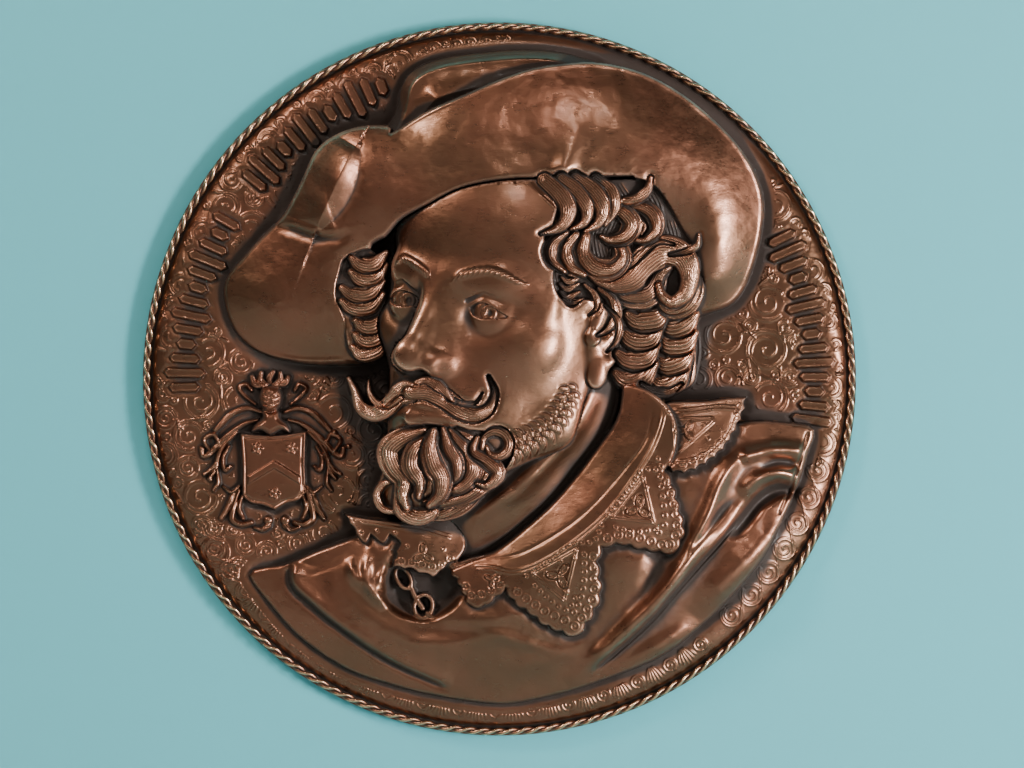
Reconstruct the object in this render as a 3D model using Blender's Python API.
"""A round wall plaque of pressed copper with a bust in relief and a rope round its edge.

Two solids: embossed_plate, one hollow pressed sheet, and rope_edge, the wire that lies on its flange.
The front faces -Y and the wall is the plane y = 0. The origin is at the top of the flange, on the wall.
The relief is worked as heights over the wall, in millimetres, and becomes metres only in the meshes.
"""

import bmesh
import bpy
import numpy as np

for old in list(bpy.data.objects):
    bpy.data.objects.remove(old)


# Sizes of the plaque

DIAMETER = 499.0
FLANGE_INNER = 243.2
BAND_START = 223.0
SHEET_THICKNESS = 1.2
FIELD_HEIGHT = 10.0
WALL_POINT_RADIUS = 243.75
DRAWING_UNIT = 0.70
DRAWING_CENTRE = (499.5, 379.0)
BOARD_STEP = 1.5
FRONT_TRIANGLES = 6050
BACK_TRIANGLES = 1450
FRONT_RADIUS = 240.0
FRONT_SOFTENED = 0.9
BACK_RADIUS = 238.0
BACK_FLANGE_INNER = 240.0
BACK_EVERY = 3
BACK_REACH = 6.0
BACK_SOFTENED = 3.3
BACK_MARGIN = 0.9
RIM_SIDES = 96
SMOOTH_UP_TO = 40
ROPE_RADIUS = 246.5
ROPE_THICKNESS = 5.4
ROPE_GAP = 0.3
ROPE_SIDES = 6


# The board of heights

HALF_WIDTH = 252.0
BOARD_POINTS = int(round(2 * HALF_WIDTH / BOARD_STEP)) + 1
board_axis = np.linspace(-HALF_WIDTH, HALF_WIDTH, BOARD_POINTS, dtype=np.float32)
X, Z = np.meshgrid(board_axis, board_axis[::-1])
R = np.hypot(X, Z)
CELL = 2 * HALF_WIDTH / (BOARD_POINTS - 1)


# Lines on the drawing

def drawn(points):
    """Places on the drawing as millimetres from the plaque's centre, x to the right and z up."""
    places = np.array(points, float)
    places[:, 0] = (places[:, 0] - DRAWING_CENTRE[0]) * DRAWING_UNIT
    places[:, 1] = (DRAWING_CENTRE[1] - places[:, 1]) * DRAWING_UNIT
    return places


def curve(points, count=32, closed=False):
    """A smooth line through the points, with count points at even distances."""
    p = np.asarray(points, float)
    if closed:
        p = np.vstack([p[-1], p, p[0], p[1]])
    else:
        p = np.vstack([2 * p[0] - p[1], p, 2 * p[-1] - p[-2]])
    t = np.linspace(0, 1, 16, endpoint=False)[:, None]
    runs = []
    for a, b, c, d in zip(p[:-3], p[1:-2], p[2:-1], p[3:]):
        square = (2 * a - 5 * b + 4 * c - d) * t**2
        cube = (3 * b - 3 * c + d - a) * t**3
        runs.append(0.5 * (2 * b + (c - a) * t + square + cube))
    runs.append(p[-2:-1])
    line = np.vstack(runs)
    walked = np.concatenate([[0], np.cumsum(np.hypot(np.diff(line[:, 0]), np.diff(line[:, 1])))])
    stops = np.linspace(0, walked[-1], count)
    return np.stack([np.interp(stops, walked, column) for column in line.T], 1)


def drawn_curve(points, count=32, closed=False):
    return curve(drawn(points), count, closed)


def beside(line, distance):
    """The line moved to its left by a distance, which may change along it."""
    way = np.gradient(line[:, :2], axis=0)
    way /= np.linalg.norm(way, axis=1, keepdims=True) + 1e-9
    return line[:, :2] + np.stack([-way[:, 1] * distance, way[:, 0] * distance], 1)


# Soft steps and joins

def rise(value, start, end):
    """From 0 at start to 1 at end, with no corner."""
    t = np.clip((value - start) / (end - start), 0, 1)
    return t * t * (3 - 2 * t)


def joined(a, b, blend):
    """The lower of two values, with the corner between them rounded."""
    h = np.maximum(blend - np.abs(a - b), 0) / blend
    return np.minimum(a, b) - h * h * blend * 0.25


def cut_away(a, b, blend):
    """Shape a without shape b, both as distances, with the rim rounded."""
    return -joined(-a, b, blend)


def blurred(heights, cells):
    """Heights smoothed by a bell curve that many cells wide."""
    pad = int(3 * cells) + 1
    wide = np.pad(heights, pad, mode="edge")
    rows = np.fft.fftfreq(wide.shape[0])[:, None]
    cols = np.fft.rfftfreq(wide.shape[1])[None, :]
    bell = np.exp(-2 * (np.pi * cells) ** 2 * (rows**2 + cols**2))
    smooth = np.fft.irfft2(np.fft.rfft2(wide) * bell, s=wide.shape)
    return smooth[pad:-pad, pad:-pad].astype(np.float32)


# Measuring from lines

def window(points, margin):
    """The part of the board that holds the points, with a margin, as slices."""
    low = np.min(points, axis=0)[:2] - margin
    high = np.max(points, axis=0)[:2] + margin
    cols = slice(max(0, int((low[0] + HALF_WIDTH) / CELL)), max(2, int((high[0] + HALF_WIDTH) / CELL) + 2))
    rows = slice(max(0, int((HALF_WIDTH - high[1]) / CELL)), max(2, int((HALF_WIDTH - low[1]) / CELL) + 2))
    return rows, cols


def from_line(line, x, z):
    """Distance to a line, share of the way along it, and side: 1 to its left, -1 to its right."""
    nearest = np.full(x.shape, 1e9, np.float32)
    share = np.zeros(x.shape, np.float32)
    side = np.zeros(x.shape, np.float32)
    last = len(line) - 1
    for i in range(last):
        ax, az = np.float32(line[i, 0]), np.float32(line[i, 1])
        dx, dz = np.float32(line[i + 1, 0] - line[i, 0]), np.float32(line[i + 1, 1] - line[i, 1])
        px, pz = x - ax, z - az
        t = np.clip((px * dx + pz * dz) / (dx * dx + dz * dz + np.float32(1e-9)), 0, 1)
        gap = (px - t * dx) ** 2 + (pz - t * dz) ** 2
        closer = gap < nearest
        nearest = np.where(closer, gap, nearest)
        share = np.where(closer, (i + t) / last, share)
        side = np.where(closer, np.sign(dx * pz - dz * px), side)
    return np.sqrt(nearest), share, side


def depth_inside(outline, x, z):
    """Distance to a closed outline, above 0 inside it and below 0 outside."""
    nearest = np.full(x.shape, 1e9, np.float32)
    odd = np.zeros(x.shape, bool)
    for (ax, az), (bx, bz) in zip(outline[:, :2], np.roll(outline[:, :2], -1, axis=0)):
        dx, dz = np.float32(bx - ax), np.float32(bz - az)
        px, pz = x - np.float32(ax), z - np.float32(az)
        t = np.clip((px * dx + pz * dz) / (dx * dx + dz * dz + np.float32(1e-9)), 0, 1)
        nearest = np.minimum(nearest, (px - t * dx) ** 2 + (pz - t * dz) ** 2)
        if az != bz:
            odd ^= (z >= min(az, bz)) & (z < max(az, bz)) & (x < ax + (z - az) * (dx / dz))
    return np.where(odd, np.sqrt(nearest), -np.sqrt(nearest))


def skin(spots, x, z, slack=0.03):
    """A taut smooth surface through a few (x, z, height) spots, as a thin plate bends."""
    p = np.asarray(spots, float)
    flat = p[:, :2] / 100
    gaps = ((flat[:, None] - flat[None]) ** 2).sum(-1)
    n = len(p)
    pull = np.zeros((n + 3, n + 3))
    pull[:n, :n] = 0.5 * gaps * np.log(gaps + 1e-20) + slack * np.eye(n)
    pull[:n, n] = 1
    pull[:n, n + 1:] = flat
    pull[n:, :n] = pull[:n, n:].T
    weights = np.linalg.solve(pull, np.concatenate([p[:, 2], [0, 0, 0]]))
    u, v = x / np.float32(100), z / np.float32(100)
    height = (weights[n] + weights[n + 1] * u + weights[n + 2] * v).astype(np.float32)
    for (pu, pv), weight in zip(flat, weights[:n]):
        gap = (u - np.float32(pu)) ** 2 + (v - np.float32(pv)) ** 2
        height += np.float32(0.5 * weight) * gap * np.log(gap + np.float32(1e-12))
    return height


# Four ways to work the sheet

def along(value, share):
    """A value that may change along a line, given as one number or as several at even distances."""
    if np.isscalar(value):
        return value
    return np.interp(share, np.linspace(0, 1, len(value)), value).astype(np.float32)


def fade(share, ends):
    """1 along a line and 0 at its two ends."""
    return np.clip(np.minimum(share, 1 - share) / ends, 0, 1) ** 0.8


def raise_shape(outline, height, edge=2.0, drop=2.0, groove=0.0, groove_width=3.0):
    """Puts a shape over the sheet, its edge rounded and a groove sunk round it."""
    place = window(outline, 14)
    x, z = X[place], Z[place]
    depth = depth_inside(outline, x, z)
    top = height(x, z, depth) if callable(height) else np.float32(height)
    turn = np.clip(1 - depth / edge, 0, 1)
    top = top - drop * (1 - np.sqrt(np.clip(1 - turn * turn, 0, 1)))
    below = H[place] - groove * np.exp(-((np.minimum(depth, 0) / groove_width) ** 2)) * (depth < 0)
    cover = rise(depth, -0.35 * CELL, 0.65 * CELL)
    H[place] = below + (top - below) * cover


def add_ridge(line, width, height, ends=0.15):
    """A soft ridge along a line, or a valley where height is below 0."""
    widest = float(np.max(width))
    place = window(line, widest * 2.4)
    distance, share, side = from_line(line, X[place], Z[place])
    bump = along(height, share) * fade(share, ends) * np.exp(-((distance / along(width, share)) ** 2))
    H[place] += blurred(bump, 1.0 / CELL) if widest > 3 else bump.astype(np.float32)


def add_fold(line, height, steep, reach, side_is=1, ends=0.2, dig=0.0, dig_width=3.0):
    """Cloth lying over cloth: the sheet jumps up along a line and eases back down over its reach."""
    place = window(line, float(np.max(reach)) * 2.6)
    distance, share, side = from_line(line, X[place], Z[place])
    over = np.maximum(distance * side * side_is, 0)
    lift = along(height, share) * fade(share, ends) * (1 - np.exp(-over / steep))
    lift = lift * np.exp(-((over / along(reach, share)) ** 1.6))
    lift = lift - dig * fade(share, ends) * np.exp(-((distance / dig_width) ** 2))
    H[place] += blurred(lift, 0.7 / CELL)


def lay_lock(line, width, base, crown, strands=5, taper=(0.5, 1.0, 0.55), groove=2.2, cut=2.0, strand=0.95):
    """A lock of hair: a rounded ribbon of strands that narrows to its ends, with a dark cut round it."""
    place = window(line, width * 0.6 + 4)
    distance, share, side = from_line(line, X[place], Z[place])
    half = width * 0.5 * along(taper, share)
    across = distance * side / half
    inside = np.clip(1 - across * across, 0, 1)
    foot = along(base, share)
    wander = 1.6 * np.sin(5.0 * share + 7.0 * line[0, 0])
    combed = np.abs(np.sin(0.5 * np.pi * strands * across + wander))
    top = foot + crown * np.sqrt(inside) + strand * (combed - 0.5) * np.clip(inside * 3, 0, 1)
    old = H[place]
    cover = rise(half - distance, -0.4 * CELL, 0.6 * CELL)
    beyond = np.maximum(distance - half, 0)
    sunk = groove * np.exp(-((beyond / cut) ** 2)) * np.clip((old - foot + 6) / 6, 0, 1)
    H[place] = np.where(cover > 0, old + (top - old) * cover, old - sunk)


# Flange, shoulder and field

FIELD_SWELL = 1.5
SWELL_RADII = (40.0, 222.0)
SHOULDER_TOP, SHOULDER_FOOT = 2.4, 0.65
field = FIELD_HEIGHT + FIELD_SWELL * (1 - rise(R, *SWELL_RADII))
fall = np.clip((R - BAND_START) / (FLANGE_INNER - BAND_START), 0, 1)
shoulder = (1 - fall**SHOULDER_TOP) ** SHOULDER_FOOT
H = (SHEET_THICKNESS + (field - SHEET_THICKNESS) * shoulder).astype(np.float32)


# The cloak's outline and swell

CLOAK = (
    (250, 575), (262, 567), (287, 563), (320, 549), (353, 537), (400, 520), (450, 500), (560, 470),
    (640, 440), (700, 430), (746, 421), (780, 422), (812, 428), (806, 455), (796, 487), (785, 512),
    (764, 553), (739, 586), (707, 619), (661, 655), (592, 683), (546, 696), (500, 703), (438, 695),
    (392, 684), (347, 668), (301, 637), (269, 602),
)
CLOAK_SPOTS = (
    (250, 575, 13), (287, 563, 16), (353, 537, 23), (269, 602, 13), (301, 637, 14), (347, 668, 14),
    (392, 684, 14), (438, 695, 14), (500, 703, 14), (546, 696, 14), (592, 683, 15), (661, 655, 16),
    (707, 619, 17), (764, 553, 18), (796, 487, 19), (812, 428, 20), (746, 421, 25), (700, 430, 32),
    (300, 590, 19), (340, 600, 25), (335, 572, 27), (400, 640, 25), (380, 540, 31), (470, 650, 27),
    (440, 600, 28), (470, 590, 33), (540, 640, 28), (560, 600, 35), (620, 620, 28), (625, 560, 37),
    (680, 560, 33), (670, 500, 39), (730, 550, 28), (745, 500, 30), (780, 465, 26), (720, 455, 36),
    (700, 600, 25), (650, 630, 23), (560, 665, 22), (660, 440, 36), (600, 500, 34), (500, 540, 32),
)
cloak_spots = drawn(CLOAK_SPOTS)


def cloak_height(x, z, depth):
    return skin(cloak_spots, x, z, 0.05)


raise_shape(drawn_curve(CLOAK, 170, True), cloak_height, 3.0, 3.0, 1.2, 4.5)


# Folds of the cloak

# Where cloth lies over cloth: the upper layer's edge at the left, and the long crease at the right.
LEFT_EDGE = ((292, 560), (289, 576), (294, 589), (310, 603), (335, 624), (388, 660), (450, 689))
CREASE = ((742, 512), (720, 540), (700, 562), (674, 592), (652, 618), (622, 646), (592, 672))
# Ridges, and valleys where the height is below 0: points, width, height, and share that fades at the ends.
LEFT_ROLLS = (
    ([(351, 556), (355, 573), (366, 590)], 4.0, (3, 4.5, 2), 0.3),
    ([(372, 552), (367, 570), (372, 588), (388, 606)], 4.2, (3, 6, 4), 0.25),
    ([(330, 560), (345, 590), (380, 622), (430, 646), (480, 655)], 8, (1, 2.5, 1), 0.3),
    ([(400, 640), (460, 640), (530, 628)], 6, 1.8, 0.3),
    ([(440, 618), (490, 618), (540, 606)], 5, 1.5, 0.3),
    ([(470, 625), (520, 640), (575, 655)], 4, (1, 2.4, 1), 0.3),
    ([(600, 640), (560, 655), (500, 668)], 6, 1.6, 0.3),
)
LONG_CREST = (
    (760, 449), (738, 456), (720, 478), (708, 508), (692, 544), (672, 576), (645, 608), (608, 644),
    (566, 682),
)
RIGHT_ROLLS = (
    (LONG_CREST, (5, 6, 7, 7, 7, 6, 6), (4, 7, 9, 10, 9, 7, 4), 0.14),
    ([(786, 505), (772, 530), (750, 556), (722, 584), (692, 614)], (8, 11, 12, 10, 8),
     (4, 8, 10, 8, 3), 0.25),
    ([(676, 566), (700, 536), (722, 508), (740, 494)], 3.0, (-1, -3, -4, -2), 0.3),
    ([(696, 618), (660, 644), (610, 672)], 7.0, (3, 5, 2), 0.3),
    ([(738, 458), (770, 449), (804, 451)], 5.2, (4, 6, 5), 0.1),
    ([(752, 474), (774, 462), (798, 464)], 2.6, (-1, -3, -3), 0.2),
    ([(738, 494), (756, 477), (778, 472), (800, 479)], 5.2, (3, 6, 7, 5), 0.12),
    ([(799, 492), (777, 490), (758, 501), (742, 521), (728, 539)], (3.5, 4.5, 4.5, 3.5),
     (-7, -10, -9, -3), 0.12),
    ([(640, 500), (655, 540), (650, 580), (628, 610)], 8, (-1, -3, -3, -1), 0.3),
)
add_fold(drawn_curve(LEFT_EDGE, 40), (7, 8, 7, 6, 3), 1.8, (12, 14, 16, 13), 1, 0.05, 2.0)
add_fold(drawn_curve(CREASE, 44), (3, 6, 8, 6, 2), 1.4, (10, 12, 12, 9), -1, 0.12, 3.2, 2.4)
add_ridge(beside(drawn_curve(CREASE, 44), 1.6), 1.0, 1.0, 0.15)
for points, width, height, ends in LEFT_ROLLS + RIGHT_ROLLS:
    add_ridge(drawn_curve(points, 6 * len(points)), width, height, ends)


# The cut end of the cloak and the hollow for the chain

SHOULDER_END = ((811, 432), (804, 458), (793, 490), (782, 516))
HOLLOW = (
    (381, 583), (390, 566), (415, 560), (445, 564), (464, 582), (458, 602), (432, 618), (405, 615),
    (388, 603),
)
HOLLOW_RIM = ((388, 566), (383, 580), (392, 594))
HOLLOW_DEPTH = 13.0
HOLLOW_SLOPE = (-3.0, 10.0)
add_ridge(beside(drawn_curve(SHOULDER_END, 20), -3.2), 1.1, -1.5, 0.05)
hollow = drawn_curve(HOLLOW, 40, True)
place = window(hollow, 12)
H[place] -= HOLLOW_DEPTH * rise(depth_inside(hollow, X[place], Z[place]), *HOLLOW_SLOPE)
add_ridge(drawn_curve(HOLLOW_RIM, 12), 4.0, (2, 5, 2), 0.35)


# Neck

NECK = (
    (598, 330), (612, 350), (620, 385), (616, 415), (602, 445), (580, 474), (556, 500), (533, 522),
    (500, 548), (472, 556), (452, 560), (420, 545), (425, 500), (470, 440), (540, 380),
)
NECK_SPOTS = (
    (600, 340, 34), (618, 385, 26), (612, 420, 24), (578, 470, 23), (533, 520, 23), (490, 545, 23),
    (452, 556, 23), (590, 390, 39), (570, 430, 39), (530, 475, 39), (490, 515, 37), (465, 535, 32),
    (560, 380, 36), (520, 430, 36), (480, 480, 34), (450, 510, 32), (430, 540, 27),
)
NECK_ROLLS = (
    ([(598, 365), (588, 402), (563, 442), (524, 482), (486, 516)], 7, (2, 5, 5, 3), 0.2),
    ([(566, 410), (536, 448), (505, 480), (480, 503)], 3.6, -2.4, 0.2),
    ([(512, 486), (486, 508), (468, 524)], 5, 3.2, 0.25),
)
neck_spots = drawn(NECK_SPOTS)
raise_shape(drawn_curve(NECK, 80, True), lambda x, z, depth: skin(neck_spots, x, z), 2, 1)
for points, width, height, ends in NECK_ROLLS:
    add_ridge(drawn_curve(points, 6 * len(points)), width, height, ends)


# Crown of the hat

CROWN = (
    (385, 150), (397, 112), (402, 88), (415, 71), (445, 59), (500, 52), (534, 51), (557, 53), (578, 58),
    (598, 66), (600, 90), (500, 120),
)
CROWN_FOOT = 17.0
CROWN_SIDE, CROWN_SIDE_DEPTH = 10.0, 8.0
CROWN_TOP, CROWN_TOP_DEPTHS = 9.0, (9.0, 38.0)


def crown_height(x, z, depth):
    side = CROWN_SIDE * rise(depth, 0, CROWN_SIDE_DEPTH)
    return CROWN_FOOT + side + CROWN_TOP * rise(depth, *CROWN_TOP_DEPTHS)


raise_shape(drawn_curve(CROWN, 80, True), crown_height, 2.5, 2.5, 1.6, 4)


# Brim of the hat

BRIM = (
    (375, 357), (345, 365), (300, 363), (260, 352), (235, 330), (225, 300), (227, 279), (241, 261),
    (262, 238), (280, 221), (289, 208), (303, 181), (316, 153), (335, 137), (362, 128), (392, 128),
    (392, 135), (427, 114), (461, 99), (500, 82), (534, 71), (569, 66), (592, 65), (615, 68), (638, 74),
    (661, 84), (684, 98), (707, 116), (730, 138), (748, 162), (759, 185), (763, 208), (760, 238),
    (752, 268), (743, 290), (730, 305), (707, 314), (690, 320), (672, 330), (640, 330), (600, 300),
    (560, 230), (560, 182), (530, 181), (500, 183), (461, 191), (427, 208), (402, 222), (388, 238),
    (372, 250), (370, 300),
)
UPPER_EDGE = slice(16, 37)
BRIM_SPOTS = (
    (225, 300, 15), (241, 261, 18), (262, 238, 21), (280, 222, 24), (235, 330, 14), (260, 352, 14.5),
    (300, 363, 17), (345, 365, 22), (375, 357, 26), (258, 300, 26), (300, 300, 32), (345, 310, 36),
    (372, 310, 38), (295, 262, 31), (335, 275, 38), (300, 340, 26), (340, 345, 30), (303, 181, 30),
    (335, 137, 32), (392, 125, 34), (325, 190, 34), (343, 180, 43), (328, 222, 42), (360, 152, 45),
    (312, 240, 33), (350, 225, 45), (372, 250, 44), (392, 135, 44), (438, 108, 45), (500, 82, 45),
    (569, 66, 43), (615, 68, 40), (661, 84, 36), (707, 116, 30), (748, 162, 24), (763, 208, 20),
    (760, 250, 19), (743, 290, 18), (707, 314, 21), (690, 320, 24), (400, 170, 50), (450, 145, 53),
    (500, 125, 55), (560, 112, 55), (620, 118, 52), (670, 152, 49), (702, 200, 45), (716, 245, 42),
    (706, 282, 38), (402, 222, 51), (427, 206, 55), (461, 191, 58), (500, 182, 60), (560, 178, 60),
    (600, 180, 58), (640, 185, 52), (450, 170, 54), (520, 158, 57), (600, 150, 55), (648, 215, 40),
    (668, 240, 34), (680, 262, 30), (690, 290, 28), (640, 270, 34), (600, 240, 40),
)
FOLD_CREST = ((319, 231), (326, 213), (334, 195), (342, 178), (350, 162), (359, 147))
FOLD_HEIGHT = 11.0
FOLD_SLOPES = (24.0, 13.0)
FRONT_BUMP = ((563, 174), (570, 152), (581, 126))
BUMP_HEIGHT = 3.4
BUMP_REACH = 8.0
LOWER_ROLL = ((232, 326), (245, 345), (275, 357), (310, 361), (350, 360))
LEFT_CREASE = ((277, 226), (295, 231), (315, 238), (338, 240), (352, 232))
INNER_RIM = ((647, 189), (656, 206), (668, 228), (673, 240))
brim_spots = drawn(BRIM_SPOTS)
fold_crest = drawn_curve(FOLD_CREST, 16)
front_bump = drawn_curve(FRONT_BUMP, 12)


def brim_height(x, z, depth):
    """The sweep of the brim, with the crest of the fold and the bump over the forehead."""
    height = skin(brim_spots, x, z, 0.02)
    distance, share, side = from_line(fold_crest, x, z)
    swell = np.sin(np.pi * np.clip(share, 0.03, 0.97)) ** 0.6
    rounded = np.exp(-((distance / FOLD_SLOPES[0]) ** 2))
    facet = np.clip(1 - distance / (FOLD_SLOPES[1] * swell), 0, 1)
    height += FOLD_HEIGHT * swell * np.where(side > 0, rounded, facet)
    distance, share, side = from_line(front_bump, x, z)
    return height + BUMP_HEIGHT * (1.1 - share) * np.exp(-((distance / BUMP_REACH) ** 2))


raise_shape(drawn_curve(BRIM, 230, True), brim_height, 3.6, 3.6, 1.2, 5)
add_ridge(beside(drawn_curve(BRIM[UPPER_EDGE], 110), -1.9), 1.1, 0.8, 0.03)
add_ridge(drawn_curve(LOWER_ROLL, 40), 2.4, 1.6, 0.1)
add_fold(drawn_curve(LEFT_CREASE, 24), (4, 5, 2), 2.2, 14, 1, 0.2, 1.6, 4.0)
add_ridge(drawn_curve(INNER_RIM, 14), 1.8, 2.0, 0.15)


# The head's own measures, in millimetres

HEAD_SCALE = 1.12
HEAD_TURN = np.radians(35)
HEAD_TILT = np.radians(9)
HEAD_CENTRE = (9.0, 43.0)
DEPTH_KEPT = 0.43
HEAD_LIFT = 24.0
EYE_APART, EYE_FORWARD = 31.0, 64.0
EYEBALL, LID = 12.6, 14.6
IRIS, PUPIL, PUPIL_DEPTH = 6.2, 3.1, 4.6
EAR_FORWARD = 15.0
EAR_RIM = (
    (77, -14, 25), (79, -21, 26), (80, -28, 20), (81, -31, 11), (80, -30, 1), (77, -26, -9),
    (74, -19, -18),
)
GAZE = np.array([0.284, 0.958, -0.02])


def swelling(x, y, z, centre, radii):
    """About the distance to an ellipsoid, below 0 inside it."""
    a, b, c = [(v - np.float32(m)) / np.float32(r) for v, m, r in zip((x, y, z), centre, radii)]
    near = np.sqrt(a * a + b * b + c * c)
    steep = np.sqrt((a / radii[0]) ** 2 + (b / radii[1]) ** 2 + (c / radii[2]) ** 2) + np.float32(1e-6)
    return (near * (near - 1) / steep).astype(np.float32)


def rod(x, y, z, start, end, thick, thick_end):
    """Distance to a tapered rod with round ends."""
    dx, dy, dz = [np.float32(b - a) for a, b in zip(start, end)]
    px, py, pz = [v - np.float32(a) for v, a in zip((x, y, z), start)]
    t = np.clip((px * dx + py * dy + pz * dz) / (dx * dx + dy * dy + dz * dz), 0, 1)
    gap = np.sqrt((px - t * dx) ** 2 + (py - t * dy) ** 2 + (pz - t * dz) ** 2)
    return gap - (np.float32(thick) + t * np.float32(thick_end - thick))


def joined_all(start, shapes):
    """Adds (distance, blend) shapes one after another."""
    for shape, blend in shapes:
        start = joined(start, shape, blend)
    return start


# Skull, cheeks and jaw

def skull(x, y, z):
    ax = np.abs(x)
    return joined_all(swelling(x, y, z, (0, -12, 38), (75, 92, 78)), (
        (swelling(x, y, z, (0, 34, 50), (58, 50, 48)), 22),
        (swelling(x, y, z, (0, 26, -30), (55, 52, 62)), 18),
        (swelling(ax, y, z, (40, 45, -15), (21, 21, 15)), 26),
        (rod(ax, y, z, (55, -2, -16), (46, 8, -62), 11, 11), 28),
        (rod(ax, y, z, (46, 8, -62), (15, 64, -101), 11, 13), 20),
        (swelling(x, y, z, (0, 44, -66), (40, 40, 40)), 18),
        (swelling(x, y, z, (0, 73, -100), (19, 16, 14)), 12),
    ))


# Brow, nose and mouth

def brow_and_nose(x, y, z, form):
    ax = np.abs(x)
    form = cut_away(form, swelling(ax, y, z, (32, 86, -1), (20, 19, 14)), 12)
    form = joined_all(form, (
        (rod(x, y, z, (-16, 75, 17), (16, 75, 17), 8, 8), 14),
        (rod(ax, y, z, (10, 76, 17), (34, 70, 20), 7.5, 6.5), 12),
        (rod(ax, y, z, (34, 70, 20), (54, 46, 9), 6.5, 4.5), 14),
    ))
    form = cut_away(form, swelling(ax, y, z, (14, 88, 1), (7, 9, 9)), 8)
    form = joined_all(form, (
        (rod(x, y, z, (0, 77, 14), (0, 99, -30), 7.0, 7.8), 12),
        (swelling(x, y, z, (0, 102, -34), (10, 10, 9)), 8),
        (rod(ax, y, z, (5, 76, 2), (12, 83, -32), 5, 8), 14),
        (swelling(ax, y, z, (13, 91, -37), (7, 10, 7)), 6),
    ))
    return cut_away(form, swelling(ax, y, z, (7.2, 98, -46), (3.6, 6, 4.5)), 3)


def mouth(x, y, z, form):
    ax = np.abs(x)
    form = joined_all(form, (
        (swelling(x, y, z, (0, 64, -62), (29, 26, 23)), 9),
        (rod(ax, y, z, (0, 90.5, -59.5), (22, 80, -64), 4.8, 2.4), 4),
        (rod(ax, y, z, (0, 88.5, -70.5), (19, 80, -67.5), 5.8, 2.6), 4),
    ))
    form = cut_away(form, rod(ax, y, z, (0, 95.5, -65.3), (24, 84, -66), 1.8, 1.2), 2.2)
    form = cut_away(form, swelling(x, y, z, (0, 96, -84), (15, 7, 5)), 6)
    return cut_away(form, rod(ax, y, z, (20, 94, -40), (31, 84, -62), 3.0, 2.6), 9)


# Eyes and ears

def eyes(x, y, z, form):
    """Eyeballs in lids. The iris is a fine ring and the pupil a small pit, as a modeller cuts them."""
    ax = np.abs(x)
    ex, ey = ax - np.float32(EYE_APART), y - np.float32(EYE_FORWARD)
    reach = np.sqrt(ex * ex + ey * ey + z * z)
    upper = 5.8 - 0.026 * (ex + 2) ** 2
    lower = -4.4 + 0.020 * (ex - 1) ** 2
    lids = -joined(-(reach - np.float32(LID)), -joined(upper - z, z - lower, 1.0), 0.7)
    form = joined(form, np.maximum(lids, -(ey + 2)), 4.0)
    mid = (EYE_APART, EYE_FORWARD + 14.5, 10.6)
    inner = rod(ax, y, z, (EYE_APART - 13, EYE_FORWARD + 12, 5.5), mid, 1.0, 1.2)
    outer = rod(ax, y, z, mid, (EYE_APART + 15, EYE_FORWARD + 7, 6.0), 1.2, 1.0)
    form = cut_away(form, np.minimum(inner, outer), 2.5)
    look = (ex * np.sign(x) * GAZE[0] + ey * GAZE[1] + z * GAZE[2]) / (reach + np.float32(1e-3))
    from_pupil = np.arccos(np.clip(look, -1, 1)) * EYEBALL
    ring = 1.5 * np.exp(-(((from_pupil - IRIS) / 0.8) ** 2))
    pit = PUPIL_DEPTH * np.exp(-((from_pupil / PUPIL) ** 4))
    return np.minimum(form, reach - np.float32(EYEBALL) + ring + pit).astype(np.float32)


def ear(x, y, z):
    """Rim, inner fold, bowl, lobe and the small flap in front."""
    y = y - np.float32(EAR_FORWARD)
    form = rod(x, y, z, (70, -4, 10), (77, -14, 25), 3.2, 3.4)
    for start, end in zip(EAR_RIM[:-1], EAR_RIM[1:]):
        form = np.minimum(form, rod(x, y, z, start, end, 3.4, 3.4))
    form = joined_all(form, (
        (rod(x, y, z, (77, -20, 14), (75, -22, -2), 3.0, 3.4), 4),
        (swelling(x, y, z, (72, -12, -26), (5.5, 8, 10)), 5),
        (swelling(x, y, z, (70, -14, 0), (5, 14, 26)), 3),
    ))
    form = cut_away(form, swelling(x, y, z, (80, -10, -2), (8, 8, 11)), 3)
    return joined(form, swelling(x, y, z, (72, -1, -5), (5, 4, 5)), 3)


def head(x, y, z):
    form = brow_and_nose(x, y, z, skull(x, y, z))
    form = eyes(x, y, z, mouth(x, y, z, form))
    return joined(form, ear(np.abs(x), y, z), 3.0)


# From the head in the round to heights on the sheet

def on_sheet(x, y, z):
    """Where a point of the head lands in the relief: x, z and height over the wall."""
    right = x * np.cos(HEAD_TURN) - y * np.sin(HEAD_TURN)
    toward = x * np.sin(HEAD_TURN) + y * np.cos(HEAD_TURN)
    level = right * np.cos(HEAD_TILT) + z * np.sin(HEAD_TILT)
    up = z * np.cos(HEAD_TILT) - right * np.sin(HEAD_TILT)
    height = HEAD_LIFT + DEPTH_KEPT * HEAD_SCALE * toward
    return level * HEAD_SCALE + HEAD_CENTRE[0], up * HEAD_SCALE + HEAD_CENTRE[1], height


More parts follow.
